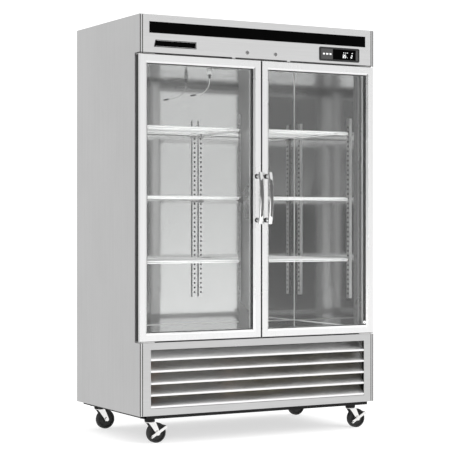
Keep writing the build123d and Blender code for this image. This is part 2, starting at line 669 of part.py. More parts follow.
def caster_plate():
    """The fixed top of one caster: bolted plate and swivel head, bored for the kingpin."""
    plate = block((-45, 45), (-35, 35), (PLATE_Z - 3, PLATE_Z))
    plate = fillet(plate.edges().filter_by(Axis.Z), 6)
    head = Pos(0, 0, PLATE_Z - 12) * Cylinder(26, 18)
    head = fillet(head.edges().sort_by(Axis.Z)[0], 4)
    for x in (-34, 34):
        for y in (-24, 24):
            plate += rod(5, (x, y, PLATE_Z - 7), (x, y, PLATE_Z - 3))
    return plate + head - rod(AXLE_R + RUNNING, (0, 0, PLATE_Z - 22), (0, 0, PLATE_Z - 5))


def caster_fork():
    """The swivelling fork: kingpin, crown, two raking legs and the wheel's axle with its bolt ends."""
    crown_low, crown_high = 102.2, 105.6
    crown = Pos(0, 0, (crown_low + crown_high) / 2) * Cylinder(25, crown_high - crown_low)
    fork = crown + rod(AXLE_R, (0, 0, crown_high), (0, 0, PLATE_Z - 7))
    top, foot = [(-17, crown_high), (23, crown_high)], [(12, 54), (9, 41), (-9, 41), (-14, 56)]
    leg = top + [(TRAIL + dx, z) for dx, z in foot]
    for y in ((-20.5, -17.5), (17.5, 20.5)):
        fork += prism_y(leg, y)
    fork += rod(AXLE_R, (TRAIL, -24.5, WHEEL_R), (TRAIL, 24.5, WHEEL_R))
    for y in ((-24.5, -20.5), (20.5, 24.5)):
        fork += rod(BOSS_R, (TRAIL, y[0], WHEEL_R), (TRAIL, y[1], WHEEL_R))
    for y in (-28, 24.5):
        bolt = Plane(origin=(TRAIL, y, WHEEL_R), z_dir=(0, 1, 0)) * RegularPolygon(10.5, 6)
        fork += extrude(bolt, 3.5, dir=(0, 1, 0))
    return fork


def caster_wheel():
    """The wheel: tread with rounded shoulders, dished web and a bored hub."""
    bore, hub_r, web_r, rim_r = AXLE_R + RUNNING, 13.0, 38.0, 41.0
    hub, web, tread = 16.5, 8.0, 15.0
    upper = [(WHEEL_R, 9), (WHEEL_R - 4, tread), (rim_r, tread), (web_r, web)]
    upper += [(hub_r, web), (hub_r, hub), (bore, hub)]
    lower = [(radius, -y) for radius, y in reversed(upper)]
    wheel = revolve(Polygon(*lower, *upper, align=None), Axis.Y)
    return Pos(TRAIL, 0, WHEEL_R) * wheel


def brake_lever():
    """The see-saw brake: two side arms about the axle, a tread tab above and a release tab below."""
    tilt = 30.0
    lever = None
    for y in ((-24, -21), (21, 24)):
        arm = block((-38, 58), y, (-7, 7)) + rod(13, (0, y[0], 0), (0, y[1], 0))
        lever = arm if lever is None else lever + arm
    lever += block((52.5, 58), (-24, 24), (-9, 7))
    lever += block((-44, -34), (-34, -21), (-3, 3))
    lever -= rod(BOSS_R + RUNNING, (0, -25, 0), (0, 25, 0))
    return Pos(TRAIL, 0, WHEEL_R) * Rot(0, -tilt, 0) * lever


# ------------------------------------------------------------------ all sub-parts

for side, turn in (("left", False), ("right", True)):
    for part_name, make in (
        ("side_panel", side_panel),
        ("lock_plug", lock_plug),
        ("door_frame", door_frame),
        ("door_liner", door_liner),
        ("door_glass", door_glass),
        ("door_gasket", door_gasket),
        ("door_handle", door_handle),
    ):
        made = make()
        shapes = made if isinstance(made, list) else [made]
        if turn:
            shapes = [mirror(shape, Plane.YZ) for shape in shapes]
        save(f"{part_name}_{side}", *shapes)

save("back_panel", back_panel())
save("top_panel", block((-HALF, HALF), (FRONT, BACK), (TOP - SHEET, TOP)))
save("foam_insulation", *foam_insulation())
save("inner_liner", inner_liner())
save("ceiling_panel", ceiling_panel())
save("face_frame", *face_frame())
save("shelf_pilasters", *shelf_pilasters())
save("mullion_lamp", mullion_lamp())
save("temperature_probe", temperature_probe())

shelf = wire_shelf(0)
to_right_bay = -(SHELF_X[0] + SHELF_X[1])
save("wire_shelves", *[Pos(x, 0, top) * shelf for top in SHELF_TOPS for x in (0, to_right_bay)])
clips = [clip for top in SHELF_TOPS for clip in shelf_clips(top)]
save("shelf_clips", *[piece for clip in clips for piece in both_sides(clip)])

save("header_panel", header_panel())
save("header_strip", header_strip())
save("badge_plate", badge_plate())
save("controller_housing", controller_housing())
save("lock_housings", *both_sides(lock_housing()))
for button_name, button_x in zip(("button_set", "button_up", "button_down"), BUTTON_XS):
    save(button_name, button(button_x))

save("hinge_brackets", *[piece for one in hinge_brackets() for piece in both_sides(one)])
save("grille_frame", grille_frame())
save("grille_blades", *[grille_blade(low) for low in BLADE_BASES])

save("base_frame", *base_frame())
save("compressor", compressor())
save("condenser_coil", finned_coil(CONDENSER_X, (FRONT + 112, FRONT + 168), CONDENSER_Z, 9.0))
save("condenser_fan_shroud", condenser_fan_shroud())
save("condenser_fan_blade", Pos(*CONDENSER_FAN) * Rot(90, 0, 0) * fan_blade(5, 100, 40))
save("condensate_pan", condensate_pan())
save("electrical_box", electrical_box())
save("refrigerant_lines", *refrigerant_lines())
save("rear_cover", rear_cover())
save("cord_gland", cord_gland())
evaporator_z = (CEILING + 22, FOAM_TOP - 12)
save("evaporator_coil", finned_coil((-500, 500), (FRONT + 500, FRONT + 620), evaporator_z, 12.0))
save("evaporator_fan_guard", *evaporator_fan_guard())
save("evaporator_fan_blade", Pos(*EVAPORATOR_FAN) * fan_blade(4, 94, 30))

plate, fork, wheel, lever = caster_plate(), caster_fork(), caster_wheel(), brake_lever()
plates = []
for end, y in zip(("front", "rear"), CASTER_YS):
    for side, x in (("left", -CASTER_X), ("right", CASTER_X)):
        place = Pos(x, y, 0)
        plates.append(place * plate)
        save(f"caster_fork_{end}_{side}", place * fork)
        save(f"caster_wheel_{end}_{side}", place * wheel)
        if end == "front":
            save(f"brake_lever_{side}", place * lever)
save("caster_plates", *plates)
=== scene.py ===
"""Looks of the two-door glass merchandiser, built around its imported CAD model. Metres, +Z up, -Y front."""

import math

import bmesh
import bpy
from mathutils import Matrix, Vector


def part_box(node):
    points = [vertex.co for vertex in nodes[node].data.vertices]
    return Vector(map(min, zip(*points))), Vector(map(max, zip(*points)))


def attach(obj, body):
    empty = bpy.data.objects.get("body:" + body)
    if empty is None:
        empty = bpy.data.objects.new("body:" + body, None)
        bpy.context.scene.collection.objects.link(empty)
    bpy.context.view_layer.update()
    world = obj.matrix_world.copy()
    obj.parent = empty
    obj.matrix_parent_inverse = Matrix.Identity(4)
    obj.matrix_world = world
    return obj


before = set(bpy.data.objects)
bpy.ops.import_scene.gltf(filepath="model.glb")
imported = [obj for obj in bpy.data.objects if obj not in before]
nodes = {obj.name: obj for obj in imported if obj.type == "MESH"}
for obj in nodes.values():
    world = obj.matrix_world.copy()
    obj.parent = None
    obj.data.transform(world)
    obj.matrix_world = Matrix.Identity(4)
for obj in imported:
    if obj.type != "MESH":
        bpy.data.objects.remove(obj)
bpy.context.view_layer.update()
scene = bpy.context.scene

# ---- Places that the CAD model gives ----
header_low, header_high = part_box("header_panel")
FRONT = header_low.y
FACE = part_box("face_frame")[0].y
liner_low, liner_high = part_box("inner_liner")
LINER_SHEET = 0.0008
INSIDE = liner_high.x - LINER_SHEET
INSIDE_BACK = liner_high.y - LINER_SHEET
INSIDE_FLOOR = liner_low.z + LINER_SHEET
INSIDE_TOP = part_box("ceiling_panel")[0].z
bezel_low, bezel_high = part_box("controller_housing")
badge_low, badge_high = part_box("badge_plate")

# ---- Sizes that it doesn't ----
HANDLE_FEET = 0.222  # between the middles of a handle's two feet
PANE = 0.0041  # a pane's thickness, and a little more
TRACK_DEPTH = 0.008
SLOT_PITCH = 0.0254
SLOT_FACE = 0.00002  # square metres: every face inside a track's slot is smaller
ROUND_OFF = 0.0003  # edges of small plates
DOORWARDS = (0, -1, 0)
UPWARDS = (0, 0, 1)


# ------------------------------------------------------------------ materials


def add_node(tree, kind, links=(), **settings):
    """A node with its settings; links are (input name or number, value or output socket)."""
    node = tree.nodes.new(kind)
    for key, value in settings.items():
        setattr(node, key, value)
    for key, value in links:
        if isinstance(value, bpy.types.NodeSocket):
            tree.links.new(value, node.inputs[key])
        else:
            node.inputs[key].default_value = value
    return node


def map_range(tree, value, old, new, **settings):
    """value with its range old (low, high) stretched to the range new."""
    links = [("Value", value), ("From Min", old[0]), ("From Max", old[1])]
    links += [("To Min", new[0]), ("To Max", new[1])]
    return add_node(tree, "ShaderNodeMapRange", links, **settings).outputs[0]


class Material:
    """A node material made step by step around one Principled shader."""

    def __init__(self, name, colour, roughness, metallic=0.0, **inputs):
        self.data = bpy.data.materials.new(name)
        self.data.use_nodes = True
        self.tree = self.data.node_tree
        self.shader = self.tree.nodes["Principled BSDF"]
        self.shader.inputs["Base Color"].default_value = (*colour, 1)
        self.shader.inputs["Roughness"].default_value = roughness
        self.shader.inputs["Metallic"].default_value = metallic
        for key, value in inputs.items():
            self.shader.inputs[key.replace("_", " ")].default_value = value
        self.place = self.add("ShaderNodeTexCoord").outputs["Object"]
        self.bump = None

    def add(self, kind, links=(), **settings):
        return add_node(self.tree, kind, links, **settings)

    def noise(self, scale, detail=3.0, rough=0.6, distortion=0.0):
        """Noise whose pattern has that many features per metre along each axis."""
        stretch = self.add("ShaderNodeMapping", [("Vector", self.place), ("Scale", scale)])
        links = [("Vector", stretch.outputs[0]), ("Scale", 1.0), ("Detail", detail)]
        links += [("Roughness", rough), ("Distortion", distortion)]
        return self.add("ShaderNodeTexNoise", links).outputs["Fac"]

    def cells(self, scale, feature="F1", output="Distance"):
        """A Voronoi pattern with that many cells per metre."""
        links = [("Vector", self.place), ("Scale", scale)]
        return self.add("ShaderNodeTexVoronoi", links, feature=feature).outputs[output]

    def range(self, value, low, high, new_low, new_high):
        """value from low..high stretched to new_low..new_high."""
        return map_range(self.tree, value, (low, high), (new_low, new_high))

    def colours(self, factor, *stops):
        """A ramp from (position, colour) stops into the base colour."""
        ramp = self.add("ShaderNodeValToRGB", [("Fac", factor)])
        elements = ramp.color_ramp.elements
        while len(elements) < len(stops):
            elements.new(0.5)
        for element, (position, colour) in zip(elements, stops):
            element.position = position
            element.color = (*colour, 1)
        self.tree.links.new(ramp.outputs[0], self.shader.inputs["Base Color"])
        return self

    def gloss(self, factor, low, high, rough_low, rough_high):
        """Roughness that follows a pattern."""
        out = self.range(factor, low, high, rough_low, rough_high)
        self.tree.links.new(out, self.shader.inputs["Roughness"])
        return self

    def relief(self, height, distance, strength=1.0):
        """Adds one layer of bump; distance is its depth in metres."""
        links = [("Height", height), ("Distance", distance), ("Strength", strength)]
        if self.bump:
            links.append(("Normal", self.bump.outputs[0]))
        self.bump = self.add("ShaderNodeBump", links)
        self.tree.links.new(self.bump.outputs[0], self.shader.inputs["Normal"])
        return self


def grey(value, warm=0.0):
    return (value + warm, value, value - warm)


def brushed(name, tone, roughness, along, spread=0.05):
    """Brushed sheet steel, its grain running along one axis, with faint cloudiness and wipe marks."""
    fine = [1400.0] * 3
    coarse = [160.0] * 3
    fine[along], coarse[along] = 9.0, 1.6
    made = Material(name, grey(tone), roughness, 1.0)
    grain = made.noise(fine, 2.0)
    streaks = made.noise(coarse, 2.0)
    clouds = made.noise((2.2, 2.2, 2.2), 4.0)
    both = made.add("ShaderNodeMath", [(0, grain), (1, streaks)], operation="ADD").outputs[0]
    dark, light = grey(tone * (1 - spread)), grey(min(tone * (1 + spread), 0.97))
    made.colours(made.range(both, 0.6, 1.4, 0.0, 1.0), (0.0, dark), (1.0, light))
    made.gloss(clouds, 0.35, 0.65, roughness * 0.85, roughness * 1.2)
    return made.relief(grain, 0.00002, 0.35).relief(clouds, 0.0006, 0.12).data


def painted(name, colour, roughness, orange_peel=0.00003, dust=0.25, **inputs):
    """Paint or moulded plastic: orange-peel relief, uneven gloss and a little dust."""
    made = Material(name, colour, roughness, **inputs)
    dirt = made.noise((9, 9, 9), 5.0)
    dusty = tuple(c + (0.35 - c) * dust * 0.12 for c in colour)
    made.colours(dirt, (0.42, colour), (0.8, dusty))
    made.gloss(dirt, 0.35, 0.7, roughness * 0.9, min(roughness * 1.35, 1.0))
    return made.relief(made.noise((420, 420, 420), 2.0), orange_peel, 0.5).data


def plated(name, tone, roughness, warm=0.0, patch=18.0):
    """Zinc or chrome plating: soft patches in tone and gloss, and fine casting relief."""
    made = Material(name, grey(tone, warm), roughness, 1.0)
    patches = made.noise((patch, patch, patch), 4.0)
    made.colours(patches, (0.3, grey(tone * 0.9, warm)), (0.7, grey(min(tone * 1.06, 0.98), warm)))
    made.gloss(patches, 0.3, 0.7, roughness * 0.8, roughness * 1.3)
    return made.relief(made.noise((300, 300, 300), 3.0), 0.00003, 0.4).data


def galvanised(name, tone):
    """Galvanised sheet with its crystal spangle."""
    made = Material(name, grey(tone), 0.42, 0.9)
    spangle = made.cells(85.0, output="Color")
    value = made.add("ShaderNodeSeparateColor", [("Color", spangle)]).outputs[0]
    made.colours(value, (0.0, grey(tone * 0.86)), (1.0, grey(tone * 1.1)))
    made.gloss(value, 0.0, 1.0, 0.34, 0.52)
    return made.relief(made.noise((30, 30, 30), 3.0), 0.0002, 0.2).data


def glass(name, straight):
    """Clear float glass that light passes straight through, with faint wipe marks.

    straight is the share that each surface mirrors when seen straight on."""
    made = Material(name, grey(0.9), 0.0)
    tree = made.tree
    clear = made.add("ShaderNodeBsdfTransparent", [("Color", (0.986, 0.988, 0.987, 1))])
    wiped = made.range(made.noise((3, 3, 9), 4.0), 0.4, 0.75, 0.004, 0.03)
    mirror = made.add("ShaderNodeBsdfGlossy", [("Color", (1, 1, 1, 1)), ("Roughness", wiped)])
    slant = made.add("ShaderNodeLayerWeight", [("Blend", 0.5)]).outputs["Facing"]
    steep = made.add("ShaderNodeMath", [(0, slant), (1, 5.0)], operation="POWER").outputs[0]
    share = made.range(steep, 0.0, 1.0, straight, 1.0)
    links = [(0, share), (1, clear.outputs[0]), (2, mirror.outputs[0])]
    mixed = made.add("ShaderNodeMixShader", links)
    tree.links.new(mixed.outputs[0], tree.nodes["Material Output"].inputs["Surface"])
    tree.nodes.remove(made.shader)
    return made.data


def coated_wire():
    """White coated steel wire: glossy, with slight pooling of the coating."""
    made = Material("shelf_white", (0.9, 0.9, 0.9), 0.32, Coat_Weight=0.3)
    pools = made.noise((60, 60, 60), 3.0)
    made.colours(pools, (0.3, grey(0.86)), (0.7, grey(0.94)))
    return made.relief(pools, 0.0002, 0.3).data


def rubber(name, tone):
    """Black rubber: matt, with a fine moulded grain and dust."""
    made = Material(name, grey(tone), 0.6, Specular_IOR_Level=0.3)
    dust = made.noise((45, 45, 45), 5.0)
    made.colours(dust, (0.45, grey(tone)), (0.85, grey(tone + 0.03)))
    made.gloss(dust, 0.3, 0.7, 0.5, 0.75)
    return made.relief(made.noise((900, 900, 900), 2.0), 0.00005, 0.5).data


def finned():
    """Thin aluminium fins standing side by side, with a dull finish; the dark bands between them are painted
    shade in the gaps.
    """
    made = Material("fins", grey(0.6), 0.45, 0.85)
    links = [("Vector", made.place), ("Scale", 95.0)]
    fins_and_gap_shade = made.add("ShaderNodeTexWave", links, bands_direction="X").outputs["Fac"]
    made.colours(fins_and_gap_shade, (0.15, grey(0.12)), (0.6, grey(0.62)))
    return made.relief(fins_and_gap_shade, 0.001, 0.8).data


def foamed():
    """Rigid foam: pale yellow with closed cells."""
    made = Material("foam", (0.72, 0.62, 0.38), 0.9)
    cells = made.cells(700.0)
    made.colours(cells, (0.0, (0.6, 0.5, 0.28)), (0.6, (0.8, 0.7, 0.45)))
    return made.relief(cells, 0.0006, 0.6).data


def copper():
    made = Material("copper", (0.85, 0.45, 0.28), 0.3, 1.0)
    stains = made.noise((25, 25, 25), 5.0)
    made.colours(stains, (0.3, (0.9, 0.5, 0.33)), (0.75, (0.42, 0.22, 0.14)))
    return made.gloss(stains, 0.3, 0.7, 0.22, 0.5).data


def lit_digits():
    """Pale lamps of the display."""
    made = Material("display_lamps", (0.85, 0.87, 0.88), 0.4, Emission_Strength=0.8)
    made.shader.inputs["Emission Color"].default_value = (0.85, 0.88, 0.9, 1)
    glow = made.noise((260, 260, 260), 2.0)
    return made.colours(glow, (0.3, grey(0.75)), (0.7, grey(0.9))).data


def lamp_cover():
    """The milky diffuser of the interior lamp, with the faint rows of its lights behind it."""
    made = Material("diffuser", grey(0.5), 0.45, Emission_Strength=0.12)
    made.shader.inputs["Emission Color"].default_value = (1, 1, 1, 1)
    rows = made.noise((30, 30, 55), 1.0)
    made.colours(rows, (0.35, grey(0.46)), (0.65, grey(0.52)))
    return made.relief(made.noise((500, 500, 500), 2.0), 0.00003, 0.4).data


side_steel = brushed("side_steel", 0.6, 0.34, 2)
front_steel = brushed("front_steel", 0.66, 0.3, 0)
panel_steel = brushed("panel_steel", 0.54, 0.32, 0)
# The louvre blades' steel is paler than the panels' steel: painted light on the blades.
blade_steel_painted_light = brushed("blade_steel_painted_light", 0.93, 0.36, 0, 0.03)
top_steel = brushed("top_steel", 0.66, 0.36, 0)
frame_steel = brushed("frame_steel", 0.62, 0.3, 2)
door_metal = brushed("door_metal", 0.8, 0.28, 2, 0.025)
liner_steel = brushed("liner_steel", 0.64, 0.07, 2, 0.03)
ceiling_steel = brushed("ceiling_steel", 0.4, 0.12, 0, 0.03)
track_steel = brushed("track_steel", 0.66, 0.13, 2, 0.03)
# Painted highlight: pale plating on the wall tracks' flanges that face the doors.
track_flange_highlight = plated("track_flange_highlight", 0.9, 0.5)
track_web = plated("track_web", 0.66, 0.42)
sheet_zinc = galvanised("sheet_zinc", 0.55)
bright_zinc = plated("bright_zinc", 0.78, 0.24, 0.006)
chrome = plated("chrome", 0.8, 0.09, patch=6.0)
gloss_black = painted("gloss_black", grey(0.0005), 0.16, 0.00001, 0.004, Specular_IOR_Level=0.02)
black_plastic = painted("black_plastic", grey(0.012), 0.42, 0.00004, 0.3, Specular_IOR_Level=0.3)
black_paint = painted("black_paint", grey(0.005), 0.38, 0.00006, 0.2, Specular_IOR_Level=0.15)
breaker_plastic = painted("breaker_plastic", grey(0.1), 0.3, 0.00003, 0.2)
liner_plastic = painted("liner_plastic", grey(0.55), 0.35, 0.00003, 0.2)
seal_grey = painted("seal_grey", grey(0.5), 0.5, 0.00004, 0.3)
grey_plastic = painted("grey_plastic", grey(0.035), 0.4, 0.00003, 0.2)
plug_metal = plated("plug_metal", 0.25, 0.3)
# Painted reflection: dark plating for the flat along the handles' bars.
painted_dark_reflection = plated("painted_dark_reflection", 0.16, 0.16)
white_plastic = painted("white_plastic", grey(0.82), 0.32, 0.00003, 0.5)
key_plastic = painted("key_plastic", grey(0.75), 0.35, 0.00002, 0.4)
# Black rubber for the handles' seals, also used as painted shade in the corner seams, the lock rings and at
# the handles' feet.
black_rubber_and_shade = rubber("black_rubber_and_shade", 0.012)
wheel_rubber = rubber("wheel_rubber", 0.014)
shelf_white = coated_wire()
pane_glass = glass("pane_glass", 0.026)
fin_metal = finned()
foam = foamed()
copper_tube = copper()
lamps = lit_digits()
diffuser = lamp_cover()


# ------------------------------------------------------------------ CAD nodes


def dress(names, material, bevel=0.0, chooser=None, *others):
    """Gives CAD nodes their materials. chooser says which one a face at that centre takes."""
    for name in names.split():
        node = nodes[name]
        mesh = node.data
        mesh.materials.clear()
        for one in (material, *others):
            mesh.materials.append(one)
        for polygon in mesh.polygons:
            polygon.material_index = chooser(polygon.center, polygon.normal) if chooser else 0
        if bevel:
            node.modifiers.new("weld", "WELD").merge_threshold = 0.00001
            soften(node, bevel)


def soften(obj, width, segments=2):
    """Rounds an object's hard edges a little, as pressed and moulded parts have them."""
    round_off = obj.modifiers.new("soften", "BEVEL")
    round_off.width = width
    round_off.segments = segments
    round_off.limit_method = "ANGLE"
    round_off.angle_limit = math.radians(40)
    round_off.harden_normals = True


def breaker(centre, normal):
    """The face frame's inner returns are plastic strips: dark on the stiles, pale under the head."""
    if centre.z > liner_high.z - 0.17 and normal.z < -0.5 and abs(centre.x) < INSIDE:
        return 2
    return 1 if centre.y > FACE + 0.0125 and abs(centre.x) > INSIDE - 0.001 else 0


def gap_shade_faces(low, high):
    """Painted shade: black on a front panel's flanges that face the doors, and on its opening's sides, where
    the gaps lie in shadow.
    """

    def chooser(centre, normal):
        below = normal.z < -0.5 and centre.z < low.z + 0.001 and low.z > 1.0
        above = normal.z > 0.5 and centre.z > high.z - 0.001 and low.z < 1.0
        jamb = abs(normal.x) > 0.5 and low.x + 0.03 < centre.x < high.x - 0.03 and low.z < 1.0
        return 1 if below or above or jamb else 0

    return chooser


def ring_of(low, high):
    """Faces of a door's ring: 0 on its outer edges, 1 towards the glass and the cabinet."""
    middle = (low + high) / 2

    def chooser(centre, normal):
        away = centre - middle
        outward = normal.x * away.x > 0 if abs(normal.x) > 0.5 else normal.z * away.z > 0
        return 0 if outward and abs(normal.y) < 0.5 or normal.y < -0.5 else 1

    return chooser


def painted_reflection_flat(low, high):
    """The flat along the middle of a handle's bar: a painted dark reflection in the chrome."""
    middle = (low.z + high.z) / 2

    def chooser(centre, normal):
        flat = normal.y < -0.93 and centre.y < FRONT - 0.02
        return 1 if flat and abs(centre.z - middle) < 0.095 else 0

    return chooser


def wall_track_places():
    """The y of the middle of each side wall track, as the CAD model has it."""
    ys = sorted({v.co.y for v in nodes["shelf_pilasters"].data.vertices if v.co.x > 0.3})
    starts = [y for i, y in enumerate(ys) if i == 0 or y - ys[i - 1] > 0.1]
    ends = [y for i, y in enumerate(ys) if i == len(ys) - 1 or ys[i + 1] - y > 0.1]
    return [(a + b) / 2 for a, b in zip(starts, ends)]


track_ys = wall_track_places()


def track_parts(centre, normal):
    """A shelf track: 1 is its inside, painted dark as shade; 2 and 3 the outer faces of a wall track, 2 the
    flange face towards the doors, painted pale as a highlight.
    """
    if centre.y > liner_high.y - 0.03:
        return 1 if normal.y > 0.5 else 0
    on_wall = abs(centre.x) > 0.3
    if on_wall and abs(normal.y) > 0.5:
        middle = min(track_ys, key=lambda y: abs(y - centre.y))
        if normal.y * (centre.y - middle) < 0:
            return 1
        return 2 if normal.y < 0 else 0
    if on_wall and normal.x * centre.x < -0.1:
        return 3
    outward = normal.x * centre.x > 0
    return 1 if abs(normal.x) > 0.5 and outward == on_wall else 0


def spacer(low, high):
    """The ring between the two panes of a door."""

    def chooser(centre, normal):
        between = low.y + PANE < centre.y < high.y - PANE
        return 1 if between and abs(normal.y) < 0.5 else 0

    return chooser


def coil_ends(low, high):
    """The copper bends at a coil's ends."""
    middle, half = (low.x + high.x) / 2, (high.x - low.x) / 2

    def chooser(centre, normal):
        return 1 if abs(centre.x - middle) > half - 0.021 else 0

    return chooser


def probe_parts(low, high):
    """The probe's white fitting and wire, with a dark sleeve above and a dark bulb at its end."""

    def chooser(centre, normal):
        sleeve = high.z - 0.0395 < centre.z < high.z - 0.0165
        return 1 if sleeve or centre.x < low.x + 0.03 else 0

    return chooser


dress("side_panel_left side_panel_right", side_steel, 0.0005)
dress("top_panel", top_steel)
dress("back_panel rear_cover condenser_fan_shroud electrical_box", sheet_zinc)
dress("foam_insulation", foam)
dress("inner_liner", liner_steel)
dress("ceiling_panel", ceiling_steel)
dress("face_frame", frame_steel, 0.001, breaker, breaker_plastic, liner_plastic)
dress("shelf_pilasters", track_steel, 0.0, track_parts, black_plastic, track_flange_highlight, track_web)
# Every face inside a slot is painted dark as shade.
for polygon in nodes["shelf_pilasters"].data.polygons:
    if polygon.area < SLOT_FACE:
        polygon.material_index = 1
dress("shelf_clips", bright_zinc)
dress("wire_shelves", shelf_white)
probe_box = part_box("temperature_probe")
dress("temperature_probe", white_plastic, 0.0, probe_parts(*probe_box), grey_plastic)
# The panels' flanges by the door gaps and the grille opening's sides take painted shade.
for name, steel in (("header_panel", front_steel), ("grille_frame", panel_steel)):
    dress(name, steel, 0.0005, gap_shade_faces(*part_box(name)), black_paint)
dress("grille_blades", blade_steel_painted_light, 0.0004)
dress("header_strip", gloss_black)
dress("badge_plate", gloss_black, 0.0004)
dress("controller_housing", black_plastic, 0.0006)
dress("lock_housings", chrome, 0.0003)
dress("lock_plug_left lock_plug_right", plug_metal, 0.0003)
dress("button_set button_up button_down", key_plastic, 0.0005)
dress("hinge_brackets", bright_zinc, 0.0004)
dress("mullion_lamp", diffuser)
dress("base_frame", black_paint, 0.0006)
dress("compressor", black_paint)
dress("condensate_pan cord_gland", black_plastic)
dress("refrigerant_lines", copper_tube)
dress("evaporator_fan_guard", bright_zinc)
dress("caster_plates", black_paint)
dress("condenser_fan_blade evaporator_fan_blade", black_plastic)
for coil in ("condenser_coil", "evaporator_coil"):
    dress(coil, fin_metal, 0.0, coil_ends(*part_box(coil)), copper_tube)
for side in ("left", "right"):
    dress(f"door_frame_{side}", door_metal, 0.0008)
    for name, other in ((f"door_liner_{side}", liner_plastic), (f"door_gasket_{side}", seal_grey)):
        dress(name, black_paint, 0.0008, ring_of(*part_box(name)), other)
    panes, handle = f"door_glass_{side}", f"door_handle_{side}"
    dress(panes, pane_glass, 0.0, spacer(*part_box(panes)), black_plastic)
    # The handles' middle flat takes a painted dark reflection.
    dress(handle, chrome, 0.0, painted_reflection_flat(*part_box(handle)), painted_dark_reflection)
    dress(f"brake_lever_{side}", bright_zinc, 0.0006)
    for end in ("front", "rear"):
        dress(f"caster_fork_{end}_{side}", bright_zinc, 0.0006)
        dress(f"caster_wheel_{end}_{side}", wheel_rubber)


# ------------------------------------------------------------------ added pieces


def place_piece(name, data, body, slot, *materials):
    """Puts a mesh or a curve into the scene, riding on a body."""
    obj = bpy.data.objects.new(name, data)
    scene.collection.objects.link(obj)
    for material in materials:
        data.materials.append(material)
    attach(obj, body)
    return obj


def piece(name, mesh, body, slot, *materials):
    """Puts a finished bmesh into the scene, riding on a body."""
    data = bpy.data.meshes.new(name)
    bmesh.ops.recalc_face_normals(mesh, faces=mesh.faces)
    mesh.to_mesh(data)
    mesh.free()
    return place_piece(name, data, body, slot, *materials)


def slab(mesh, x, y, z, index=0, round_off=0.0):
    """Adds a box between the limits on each axis, with its edges rounded off."""
    corners = bmesh.ops.create_cube(mesh, size=1.0)["verts"]
    middle = Vector([(low + high) / 2 for low, high in (x, y, z)])
    size = Vector([high - low for low, high in (x, y, z)])
    for v in corners:
        v.co = v.co * size + middle
    faces = {f for v in corners for f in v.link_faces}
    for f in faces:
        f.material_index = index
    if round_off:
        edges = list({e for v in corners for e in v.link_edges})
        made = bmesh.ops.bevel(mesh, geom=edges, offset=round_off, segments=2, affect="EDGES")
        for f in made["faces"]:
            f.material_index = index


def turned(mesh, outline, place, axis, steps=32, index=0):
    """Adds a shape turned from a closed (radius, height) outline about an axis through place."""
    spin = Vector((0, 0, 1)).rotation_difference(Vector(axis)).to_matrix()
    rings = []
    for i in range(steps):
        turn = Matrix.Rotation(2 * math.pi * i / steps, 3, "Z")
        ring = [spin @ (turn @ Vector((r, 0, h))) + Vector(place) for r, h in outline]
        rings.append([mesh.verts.new(co) for co in ring])
    for i in range(steps):
        for k in range(len(outline)):
            j, m = (i + 1) % steps, (k + 1) % len(outline)
            face = mesh.faces.new((rings[i][k], rings[j][k], rings[j][m], rings[i][m]))
            face.smooth = True
            face.material_index = index


def ring_outline(radius, wire, sides=10):
    """A round wire's section, for turned()."""
    turns = [2 * math.pi * i / sides for i in range(sides)]
    return [(radius + wire * math.cos(t), wire * math.sin(t)) for t in turns]


# The controller's face: key panel with three openings, dark window with its digits, narrow end panel.
FACE_Y = (FRONT - 0.0028, FRONT - 0.002)
key_low, key_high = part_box("button_set")
keys = [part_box(name) for name in ("button_set", "button_up", "button_down")]
panel_z = (bezel_low.z + 0.0093, bezel_high.z - 0.0093)
panel_x = (bezel_low.x + 0.0103, bezel_low.x + 0.081)


def key_panel():
    made = bmesh.new()
    gap = 0.0007
    openings = [(k[0].x + 0.002 - gap, k[1].x - 0.002 + gap) for k in keys]
    openings_z = (key_low.z + 0.002 - gap, key_high.z - 0.002 + gap)
    xs = [panel_x[0]] + [x for pair in openings for x in pair] + [panel_x[1]]
    for i in range(0, len(xs), 2):
        slab(made, xs[i : i + 2], FACE_Y, panel_z)
    for left, right in openings:
        slab(made, (left, right), FACE_Y, (panel_z[0], openings_z[0]))
        slab(made, (left, right), FACE_Y, (openings_z[1], panel_z[1]))
    return made


piece("controller_key_panel", key_panel(), "cabinet", "black_plastic", grey_plastic)

window = bmesh.new()
window_x = (panel_x[1] + 0.002, bezel_high.x - 0.0245)
slab(window, window_x, FACE_Y, panel_z, 0, ROUND_OFF)
slab(window, (window_x[1] + 0.002, bezel_high.x - 0.0103), FACE_Y, panel_z, 1, ROUND_OFF)
piece("controller_window", window, "cabinet", "gloss_black", gloss_black, grey_plastic)

SEGMENTS = {"2": "abged", "3": "abgcd", "5": "afgcd"}
SEGMENT_ENDS = {
    "a": ("tl", "tr"), "b": ("tr", "mr"), "c": ("mr", "br"), "d": ("bl", "br"),
    "e": ("ml", "bl"), "f": ("tl", "ml"), "g": ("ml", "mr"),
}
DIGIT_CORNERS = {"tl": (0, 1), "tr": (1, 1), "ml": (0, 0.5), "mr": (1, 0.5), "bl": (0, 0), "br": (1, 0)}


def segment(mesh, start, end, thick, y):
    """One six-sided lamp segment between two (x, z) points."""
    a, b = Vector((start[0], 0, start[1])), Vector((end[0], 0, end[1]))
    along = (b - a).normalized()
    across = Vector((-along.z, 0, along.x)) * thick / 2
    a, b = a + along * thick * 0.15, b - along * thick * 0.15
    tip = along * thick / 2
    outline = [a, a + tip + across, b - tip + across, b, b - tip - across, a + tip - across]
    front = [mesh.verts.new(Vector((p.x, y[0], p.z))) for p in outline]
    back = [mesh.verts.new(Vector((p.x, y[1], p.z))) for p in outline]
    mesh.faces.new(front)
    mesh.faces.new(back[::-1])
    for i in range(6):
        mesh.faces.new((front[i], back[i], back[(i + 1) % 6], front[(i + 1) % 6]))


